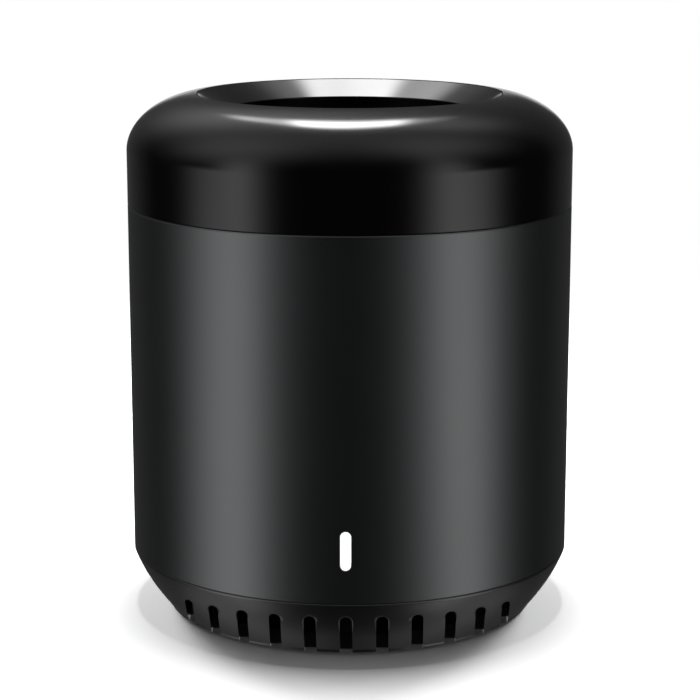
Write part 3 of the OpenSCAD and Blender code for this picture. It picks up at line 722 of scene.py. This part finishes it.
class HUB_OT_base(bpy.types.Operator):
    """Make the vented base with its two rows of slots, its screw bosses and its rim in the sleeve"""

    bl_idname = "hub.base"
    bl_label = "Vented base"

    def slot_bars(self, s, side):
        """One row of slots, with a bevel where they meet the flank."""
        fall = math.radians(s.slot_fall)
        back = Vector((0, math.cos(fall), -math.sin(fall)))
        up = Vector((0, math.sin(fall), math.cos(fall)))
        middle = (s.slots - 1) / 2
        stacks = []
        for k in range(s.slots):
            turn = math.radians((k - middle) * s.slot_pitch)
            r = s.slot_w / 2 * math.cos(turn)
            root = Vector((s.slot_ring_r * math.sin(turn), -s.slot_ring_r, BASE_LOW.z + s.slot_top))
            in_y = math.sqrt(s.slot_in_r ** 2 - root.x ** 2)
            rings = []
            e = s.slot_edge
            # each ring's growth and its depth under the flank; None is a level end outside or inside
            for grow, deep in ((e, None), (e, -e), (e, 0), (0, e), (0, None)):
                ring = []
                for p, q in self.arch(r, grow, s.slot_top):
                    start = root + Vector((p, 0, 0)) + up * q
                    if deep is None:
                        end_y = -in_y if grow == 0 else -s.body_r - MM
                        depth = (end_y - start.y) / back.y
                    else:
                        depth = self.flank_depth(s, start, back) + deep
                    point = start + back * depth
                    ring.append((side * point.x, side * point.y, point.z))
                rings.append(ring)
            stacks.append(rings)
        return stacks

    def flank_depth(self, s, start, back):
        """How far from start the line along back meets the flank, found by halving the range 40 times."""
        near, far = -4 * MM, 12 * MM
        for _ in range(40):
            middle = (near + far) / 2
            point = start + back * middle
            if math.hypot(point.x, point.y) > flank_at(s, point.z):
                near = middle
            else:
                far = middle
        return near

    def columns(self, s, r, low, high):
        """Four upright columns at the screws."""
        reach = s.screw_reach
        angles = [math.pi * k / 16 for k in range(32)]
        return lofted("columns", *(
            [[(x + r * math.cos(a), y + r * math.sin(a), z) for a in angles] for z in (low, high)]
            for x in (-reach, reach) for y in (-reach, reach)
        ))

    def arch(self, r, grow, top):
        """Outline of a slot: a round top at height 0 over sides that run out through the underside."""
        steps = 14
        wide = r + grow
        angles = [math.pi * k / steps for k in range(steps + 1)]
        arc = [(wide * math.cos(a), wide * math.sin(a) - r) for a in angles]
        return arc + [(-wide, -1.1 * top), (wide, -1.1 * top)]

    def execute(self, context):
        s, c = context.scene.hub_shape, context.scene.hub_finish
        low_z = BASE_LOW.z + s.foot_edge
        top_z = SLEEVE_LOW.z - s.band_h
        floor_z = BASE_LOW.z + s.floor_t
        slip_r = s.body_r - s.wall - s.slip
        rim_r = slip_r - s.rim_wall
        rim_z = SLEEVE_LOW.z + s.rim_h
        floor_r = flank_at(s, floor_z) - s.base_wall
        shares = [k / 24 for k in range(25)]
        side = [(flank(s, t), low_z + (top_z - low_z) * t) for t in shares]
        angles = [math.pi / 2 * (6 - k) / 6 for k in range(6)]
        foot_r = flank(s, 0) - s.foot_edge
        foot = [(foot_r + s.foot_edge * math.cos(a), low_z - s.foot_edge * math.sin(a)) for a in angles]
        crown = rounded([side[-1] + (0,), (s.body_r, SLEEVE_LOW.z, s.edge), (slip_r, SLEEVE_LOW.z, 0)])[1:]
        profile = [(0, BASE_LOW.z)] + foot + side + crown + [
            (slip_r, rim_z),
            (rim_r, rim_z),
            (rim_r, SLEEVE_LOW.z - s.rim_wall),
            (floor_r, floor_z),
            (0, floor_z),
        ]
        mesh = turned("vented_base", profile)
        mesh = combined(mesh, self.columns(s, s.boss_r, floor_z - MM, BASE_HIGH.z), "UNION")
        for r, top in ((s.screw_hole_r, BASE_HIGH.z + MM), (s.head_hole_r, s.head_z)):
            mesh = combined(mesh, self.columns(s, r, BASE_LOW.z - MM, top), "DIFFERENCE")
        # the gap in the rim for the inlet's bezel, taller and deeper than the rim
        half = s.port_w / 2 + s.port_wall + s.port_flange_w + 2 * s.slip
        low, high = SLEEVE_LOW.z, SLEEVE_LOW.z + 9 * MM
        gap = [
            [(-half, y, low), (half, y, low), (half, y, high), (-half, y, high)]
            for y in (14 * MM, 30 * MM)
        ]
        mesh = combined(mesh, lofted("gap", gap), "DIFFERENCE")
        slots = self.slot_bars(s, 1) + self.slot_bars(s, -1)
        mesh = combined(mesh, lofted("slots", *slots), "DIFFERENCE")
        outer, inner = FOOT_HIGH.x + s.slip, FOOT_HIGH.x - s.foot_w - s.slip
        low, high = BASE_LOW.z - MM, FOOT_HIGH.z
        groove = turned("groove", [(outer, low), (outer, high), (inner, high), (inner, low)])
        mesh = combined(mesh, groove, "DIFFERENCE")
        finish = moulded("base_black", c.base, roughness=0.32, grain=0.2, depth=0.004, specular=1.0)
        add_piece("vented_base", mesh, finish, "vent_base")
        return {"FINISHED"}


class HUB_OT_foot(bpy.types.Operator):
    """Make the rubber foot ring with its rounded edges and grooved underside"""

    bl_idname = "hub.foot"
    bl_label = "Foot ring"

    def execute(self, context):
        s, c = context.scene.hub_shape, context.scene.hub_finish
        outer, inner = FOOT_HIGH.x, FOOT_HIGH.x - s.foot_w
        edge = 0.25 * MM
        groove_in = 1.4 * MM
        grooves = []
        for r in (outer - groove_in, (outer + inner) / 2, inner + groove_in):
            grooves += [
                (r + edge, 0, edge / 3),
                (r + edge / 2, edge, edge / 4),
                (r - edge / 2, edge, edge / 4),
                (r - edge, 0, edge / 3),
            ]
        top = [(inner, FOOT_HIGH.z, edge), (outer, FOOT_HIGH.z, edge)]
        profile = rounded(top + [(outer, 0, edge)] + grooves + [(inner, 0, edge)], 3)
        finish = moulded("foot_rubber", c.rubber, roughness=0.72, grain=0.3, depth=0.015)
        add_piece("foot_pad", turned("foot_pad", profile), finish, "foot_ring")
        return {"FINISHED"}


class HUB_OT_window(bpy.types.Operator):
    """Make the status window, flush in the sleeve, with its flange behind"""

    bl_idname = "hub.window"
    bl_label = "Status window"

    def execute(self, context):
        s, c = context.scene.hub_shape, context.scene.hub_finish
        e = 0.05 * MM
        slip_r = s.body_r - s.wall - s.slip
        back_w, back_h = WINDOW_HIGH.x - WINDOW_LOW.x, WINDOW_HIGH.z - WINDOW_LOW.z
        rings = []
        for g, y in (
            (e, WINDOW_HIGH.y),
            (0, WINDOW_HIGH.y - e),
            (0, on_body(slip_r - e, -1)),
            (e, on_body(slip_r, -1)),
        ):
            outline = slab(back_w - 2 * g, back_h - 2 * g, back_w / 4, across=4)
            rings.append(bar(outline, 0, WINDOW_Z, y))
        for g, r in ((0, slip_r), (0, s.body_r - e), (0.3 * e, s.body_r - 0.3 * e), (e, s.body_r)):
            outline = slab(s.window_w - 2 * g, s.window_h - 2 * g, s.window_w / 2 - g, across=4)
            rings.append(bar(outline, 0, WINDOW_Z, on_body(r, -1)))
        mesh = lofted("window_lens", rings)
        finish = milky_window("window_white", c.window)
        add_piece("window_lens", mesh, finish, "status_window")
        return {"FINISHED"}


class HUB_OT_inlet(bpy.types.Operator):
    """Make the rear recess with its reset pinhole, and the power socket's metal shell"""

    bl_idname = "hub.inlet"
    bl_label = "Power inlet"

    def socket(self, w, h, inset, y):
        """Ring of the socket's outline, its lower corners cut off, drawn in by inset, at depth y."""
        cut, soft = h * 0.36, 0.28 * MM
        side, top = w / 2 - inset, h / 2 - inset
        return bar(rounded([
            (-side, top, soft),
            (side, top, soft),
            (side, cut - h / 2, soft),
            (w / 2 - cut, -top, soft),
            (cut - w / 2, -top, soft),
            (-side, cut - h / 2, soft),
        ], 4), 0, INLET_Z, y)

    def execute(self, context):
        s, c = context.scene.hub_shape, context.scene.hub_finish
        e = s.edge
        panel_y = s.body_r - s.port_depth
        slip_r = s.body_r - s.wall - s.slip
        flange = s.port_wall + s.port_flange_w
        mesh = lofted("inlet_bezel", [
            bar(slab(s.port_w + 2 * g, s.port_h + 2 * g, s.port_corner + g), 0, INLET_Z, y)
            for g, y in (
                (s.port_wall, panel_y - s.port_panel_t),
                (s.port_wall, on_body(slip_r - s.port_flange_t, 1)),
                (flange, on_body(slip_r - s.port_flange_t, 1)),
                (flange, on_body(slip_r, 1)),
                (s.port_wall, on_body(slip_r, 1)),
                (s.port_wall, on_body(s.body_r - e, 1)),
                (s.port_wall - 0.3 * e, on_body(s.body_r - 0.3 * e, 1)),
                (s.port_wall - e, on_body(s.body_r, 1)),
                (e, on_body(s.body_r, 1)),
                (0.3 * e, on_body(s.body_r - 0.3 * e, 1)),
                (0, on_body(s.body_r - e, 1)),
                (0, panel_y + e),
                (-0.3 * e, panel_y + 0.3 * e),
                (-e, panel_y),
            )
        ])
        w, h = SHELL_HIGH.x - SHELL_LOW.x, SHELL_HIGH.z - SHELL_LOW.z
        gap = 0.6 * MM
        pin_x = (PLUNGER_LOW.x + PLUNGER_HIGH.x) / 2
        mouth, pin = [], []
        for g, y in ((0, panel_y - 2 * s.port_panel_t), (0, panel_y - e), (2 * e, panel_y + e)):
            mouth.append(bar(slab(w + gap + 2 * g, h + gap + 2 * g, h / 4 + g), 0, INLET_Z, y))
            pin.append(bar(pill(2 * (s.pin_r + g), 2 * (s.pin_r + g), 16), pin_x, INLET_Z, y))
        mesh = combined(mesh, lofted("holes", mouth, pin), "DIFFERENCE")
        finish = moulded("inlet_black", c.base, roughness=0.45, grain=0.2, depth=0.006)
        add_piece("inlet_bezel", mesh, finish, "port_bezel")

        lip = 0.06 * MM
        body = [
            self.socket(w, h, 0, SHELL_LOW.y),
            self.socket(w, h, 0, SHELL_HIGH.y - lip),
            self.socket(w, h, lip, SHELL_HIGH.y),
        ]
        room = [
            self.socket(w, h, s.sheet, SHELL_LOW.y + s.sheet),
            self.socket(w, h, s.sheet, SHELL_HIGH.y - lip),
            self.socket(w, h, s.sheet - 2 * lip, SHELL_HIGH.y + lip),
        ]
        mesh = combined(lofted("inlet_shell", body), lofted("room", room), "DIFFERENCE")
        half_w, half_l = 0.4 * MM, 0.7 * MM
        middle_y = SHELL_HIGH.y - 2.4 * MM
        low, high = middle_y - half_l, middle_y + half_l
        latches = [
            [[(x - half_w, low, z), (x + half_w, low, z), (x + half_w, high, z), (x - half_w, high, z)]
             for z in (SHELL_HIGH.z - 2 * s.sheet, SHELL_HIGH.z + MM)]
            for x in (-1.7 * MM, 1.7 * MM)
        ]
        mesh = combined(mesh, lofted("latches", *latches), "DIFFERENCE")
        finish = sheet_metal("tinned_steel", (0.62, 0.62, 0.61))
        add_piece("inlet_shell", mesh, finish, "usb_shell")
        return {"FINISHED"}


# Inner CAD nodes: shape from the frame, finish from here


class HUB_OT_inside(bpy.types.Operator):
    """Give every inner CAD part its own finish"""

    bl_idname = "hub.inside"
    bl_label = "Inner parts"

    def execute(self, context):
        board = circuit_board("board_green", (0.012, 0.075, 0.03))
        chip = moulded("component_black", (0.012, 0.012, 0.013), roughness=0.5, grain=0.12, depth=0.004)
        steel = sheet_metal("screw_steel", (0.5, 0.5, 0.51), roughness=0.32, streak=(6, 6, 1))
        ballast = sheet_metal("ballast_steel", (0.36, 0.37, 0.39), roughness=0.42, streak=(1, 5, 1))
        button = moulded("button_white", (0.75, 0.75, 0.73), roughness=0.45, grain=0.15, depth=0.004)
        tin = bpy.data.materials["tinned_steel"]  # made with the socket's shell
        gold = sheet_metal("contact_gold", (0.85, 0.6, 0.22), roughness=0.25, streak=(1, 8, 1))
        finishes = {
            "base_screws": steel,
            "board_screws": steel,
            "ballast_disc": ballast,
            "inner_frame": moulded("frame_plastic", (0.02, 0.02, 0.021), roughness=0.55),
            "main_board": board,
            "ir_board": board,
            "wifi_module": board,
            "usb_tongue": chip,
            "usb_contacts": gold,
            "wifi_antenna": gold,
            "wifi_chip": chip,
            "wifi_shield": tin,
            "reset_switch": chip,
            "reset_plunger": button,
            "voltage_regulator": chip,
            "capacitors": sheet_metal("capacitor_can", (0.62, 0.63, 0.65), roughness=0.3, streak=(1, 1, 5)),
            "power_inductor": moulded("ferrite", (0.03, 0.03, 0.032), roughness=0.6, grain=0.1, depth=0.01),
            "driver_transistors": chip,
            "chip_parts": moulded("chip_ceramic", (0.3, 0.2, 0.11), roughness=0.5, grain=0.1, depth=0.004),
            "status_led": milky_window("led_white", (0.85, 0.85, 0.8)),
            "link_sockets": moulded("socket_ivory", (0.62, 0.57, 0.44), roughness=0.5),
            "link_ribbon": moulded("ribbon_grey", (0.22, 0.22, 0.22), roughness=0.6, grain=0.4),
            "ir_leds": tinted_epoxy("emitter_epoxy", (0.2, 0.25, 0.42)),
            "ir_led_leads": tin,
            "ir_receiver": chip,
            "receiver_leads": tin,
        }
        for name, finish in finishes.items():
            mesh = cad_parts[name].data
            mesh.materials.clear()
            mesh.materials.append(finish)
        return {"FINISHED"}


# Studio


class HUB_OT_studio(bpy.types.Operator):
    """Make the camera, the floor, the lamps and the white surroundings"""

    bl_idname = "hub.studio"
    bl_label = "Studio"

    # name, the property with its watts, side, azimuth, distance from the axis, height
    lamps = (
        ("top_lamp", "key", 0.14, 180, 0.03, 0.8),
        ("left_lamp", "side", 0.3, -130, 0.65, 0.35),
        ("right_lamp", "side", 0.3, 130, 0.65, 0.35),
        ("left_fill", "fill", 0.05, -135, 0.17, 0.08),
        ("right_fill", "fill", 0.05, 135, 0.17, 0.08),
    )
    # Soft boxes in the mirrored surroundings. Azimuth is in degrees from the front, positive to the
    # right, and heights are sines of the elevation. Those with a lower edge of -2 have none.
    # azimuth, tightness, strength, lower edge and its softness, upper edge and its softness
    strips = (
        (-72.9, 33.4, 1.2, -0.87, 0.04, -0.06, 0.14),
        (-55.5, 43.5, 1.63, -0.463, 0.051, 0.37, 0.38),
        (67.6, 33.1, 1.45, -0.87, 0.04, -0.08, 0.13),
        (-110, 16, 0.5, -2, 0.1, -0.66, 0.08),
        (110, 16, 0.45, -2, 0.1, -0.66, 0.08),
        (51.6, 39.9, 1.55, -0.328, 0.05, 0.444, 0.5),
    )
    # azimuth, elevation, tightness, strength
    glows = (
        (-75.8, 43.1, 8.7, 1),
        (69.5, 52.5, 12.4, 0.77),
        (15.5, 85, 4.3, 0.54),
        (-153.4, 47, 16, 0.92),
        (147.6, 55.2, 39, 0.65),
    )
    # Panels on a ceiling one unit above the hub, which the dish's far side mirrors. They share their
    # front and back edges, given as places behind the hub with their softness, and bend towards the
    # front away from their middle.
    panel_rows = (0.33, 0.07, 0.62, 0.13)
    panel_bend, panel_middle = 4, -0.03
    # strength, left edge and its softness, right edge and its softness
    panels = (
        (22, -0.2, 0.035, 0.17, 0.035),
        (4, -0.41, 0.05, 0, 0.05),
        (2, -0.41, 0.06, 0.29, 0.06),
    )

    def around(self, azimuth, distance, height):
        """Place at an angle round the hub, where 0 is the front and 90 the right."""
        a = math.radians(azimuth)
        return Vector((distance * math.sin(a), -distance * math.cos(a), height))

    def camera(self, context, st):
        """The photograph's camera."""
        data = bpy.data.cameras.new("photo_camera")
        data.sensor_width = 36
        data.lens = st.lens
        data.clip_start = 0.01
        data.shift_x = 0.0004
        camera = bpy.data.objects.new("photo_camera", data)
        context.scene.collection.objects.link(camera)
        camera.location = self.around(st.turn, st.distance, st.height)
        camera.rotation_euler = (math.radians(90 - st.pitch), 0, math.radians(st.turn))
        context.scene.camera = camera

    def lamp(self, context, name, watts, side, place):
        """Square area lamp that points at the hub's foot, and that the hub doesn't mirror."""
        data = bpy.data.lights.new(name, "AREA")
        data.size = side
        data.energy = watts
        lamp = bpy.data.objects.new(name, data)
        context.scene.collection.objects.link(lamp)
        lamp.location = place
        lamp.rotation_euler = (-place).to_track_quat("-Z", "Y").to_euler()
        lamp.visible_camera = False
        lamp.visible_glossy = False

    def floor(self, context):
        """White disc under the hub that fades out at its rim and keeps the hub's shadow."""
        made, f, p = material("floor_white")
        x, y, _ = f.split(p)
        far = ((x * x + y * y) ** 0.5).smooth(150, 260)
        sheet = f.add("ShaderNodeBsdfDiffuse", inputs={"Color": (0.94, 0.94, 0.94)})
        clear = f.add("ShaderNodeBsdfTransparent")
        mixed = f.add("ShaderNodeMixShader", inputs={0: far, 1: sheet, 2: clear})
        f.add("ShaderNodeOutputMaterial", inputs={"Surface": mixed})
        bm = bmesh.new()
        bmesh.ops.create_circle(bm, cap_ends=True, segments=96, radius=270 * MM)
        mesh = bpy.data.meshes.new("floor")
        bm.to_mesh(mesh)
        bm.free()
        mesh.materials.append(made)
        floor = bpy.data.objects.new("floor", mesh)
        context.scene.collection.objects.link(floor)
        floor.visible_glossy = False
        floor.visible_shadow = False

    def surroundings(self, context, sky):
        """World that the camera sees as white and the hub mirrors as soft boxes."""
        world = bpy.data.worlds.new("studio")
        world.use_nodes = True
        world.cycles.sampling_method = "NONE"
        context.scene.world = world
        f = Finish(world.node_tree)
        camera_ray = f.add("ShaderNodeLightPath", out="Is Camera Ray")
        rays = camera_ray.socket.node.outputs
        glossy, through = Wire(f, rays["Is Glossy Ray"]), Wire(f, rays["Is Transmission Ray"])
        toward = f.add("ShaderNodeTexCoord", out="Generated")
        x, y, z = f.split(toward)
        flat = (x * x + y * y) ** 0.5 + 0.0001
        x, y = x / flat, y / flat
        # a dim room, a little lighter behind the hub
        boxes = 0.01 + 0.06 * y.smooth(0.4, 0.8)
        for azimuth, tight, strength, *edges in self.strips:
            a = math.radians(azimuth)
            across = (x * math.sin(a) - y * math.cos(a)).at_least(0)
            boxes = boxes + strength * across ** tight * z.between(*edges)
        for azimuth, elevation, tight, strength in self.glows:
            a, e = math.radians(azimuth), math.radians(elevation)
            centre = (math.sin(a) * math.cos(e), -math.cos(a) * math.cos(e), math.sin(e))
            inputs = {0: toward, 1: centre}
            near = f.add("ShaderNodeVectorMath", {"operation": "DOT_PRODUCT"}, inputs, out="Value")
            boxes = boxes + strength * near.at_least(0) ** tight
        # the panels, only above the horizon
        horizon = 0.05
        up = z.at_least(horizon) / flat
        side = x / up
        off = side - self.panel_middle
        row = (y / up - self.panel_bend * off * off).between(*self.panel_rows) * (z > horizon)
        for strength, *edges in self.panels:
            boxes = boxes + strength * row * side.between(*edges)
        # a narrow white wall straight behind the hub, which its outermost edges mirror
        behind = y.smooth(0.976, 0.992) * (1 - z.smooth(0.03, 0.11)) * z.smooth(-0.45, -0.3)
        white = camera_ray.at_least(behind * glossy.at_least(through))
        level = glossy * boxes + (1 - glossy) * sky
        inputs = {"Color": (1, 1, 1), "Strength": white + (1 - white) * level}
        f.add("ShaderNodeOutputWorld", inputs={"Surface": f.add("ShaderNodeBackground", inputs=inputs)})

    def execute(self, context):
        st = context.scene.hub_studio
        self.camera(context, st)
        for name, watts, side, *place in self.lamps:
            self.lamp(context, name, getattr(st, watts), side, self.around(*place))
        self.floor(context)
        self.surroundings(context, st.sky)
        context.scene.view_settings.view_transform = "Standard"
        return {"FINISHED"}


MAKERS = (
    HUB_OT_sleeve,
    HUB_OT_cap,
    HUB_OT_dish,
    HUB_OT_base,
    HUB_OT_foot,
    HUB_OT_window,
    HUB_OT_inlet,
    HUB_OT_inside,
    HUB_OT_studio,
)


class HUB_PT_panel(bpy.types.Panel):
    """Lists the hub's makers in the sidebar"""

    bl_idname = "HUB_PT_panel"
    bl_label = "Infrared Remote Hub"
    bl_space_type = "VIEW_3D"
    bl_region_type = "UI"
    bl_category = "Hub"

    def draw(self, context):
        for group in (context.scene.hub_shape, context.scene.hub_finish, context.scene.hub_studio):
            box = self.layout.box()
            for key in group.__annotations__:
                box.prop(group, key)
        for maker in MAKERS:
            self.layout.operator(maker.bl_idname)


GROUPS = {"hub_shape": HubShape, "hub_finish": HubFinish, "hub_studio": HubStudio}
CLASSES = (*GROUPS.values(), *MAKERS, HUB_PT_panel)


def register():
    for cls in CLASSES:
        bpy.utils.register_class(cls)
    for name, group in GROUPS.items():
        setattr(bpy.types.Scene, name, PointerProperty(type=group))


def unregister():
    for name in GROUPS:
        delattr(bpy.types.Scene, name)
    for cls in reversed(CLASSES):
        bpy.utils.unregister_class(cls)


def main():
    register()
    for maker in MAKERS:
        area, name = maker.bl_idname.split(".")
        getattr(getattr(bpy.ops, area), name)()


if __name__ == "__main__":
    main()
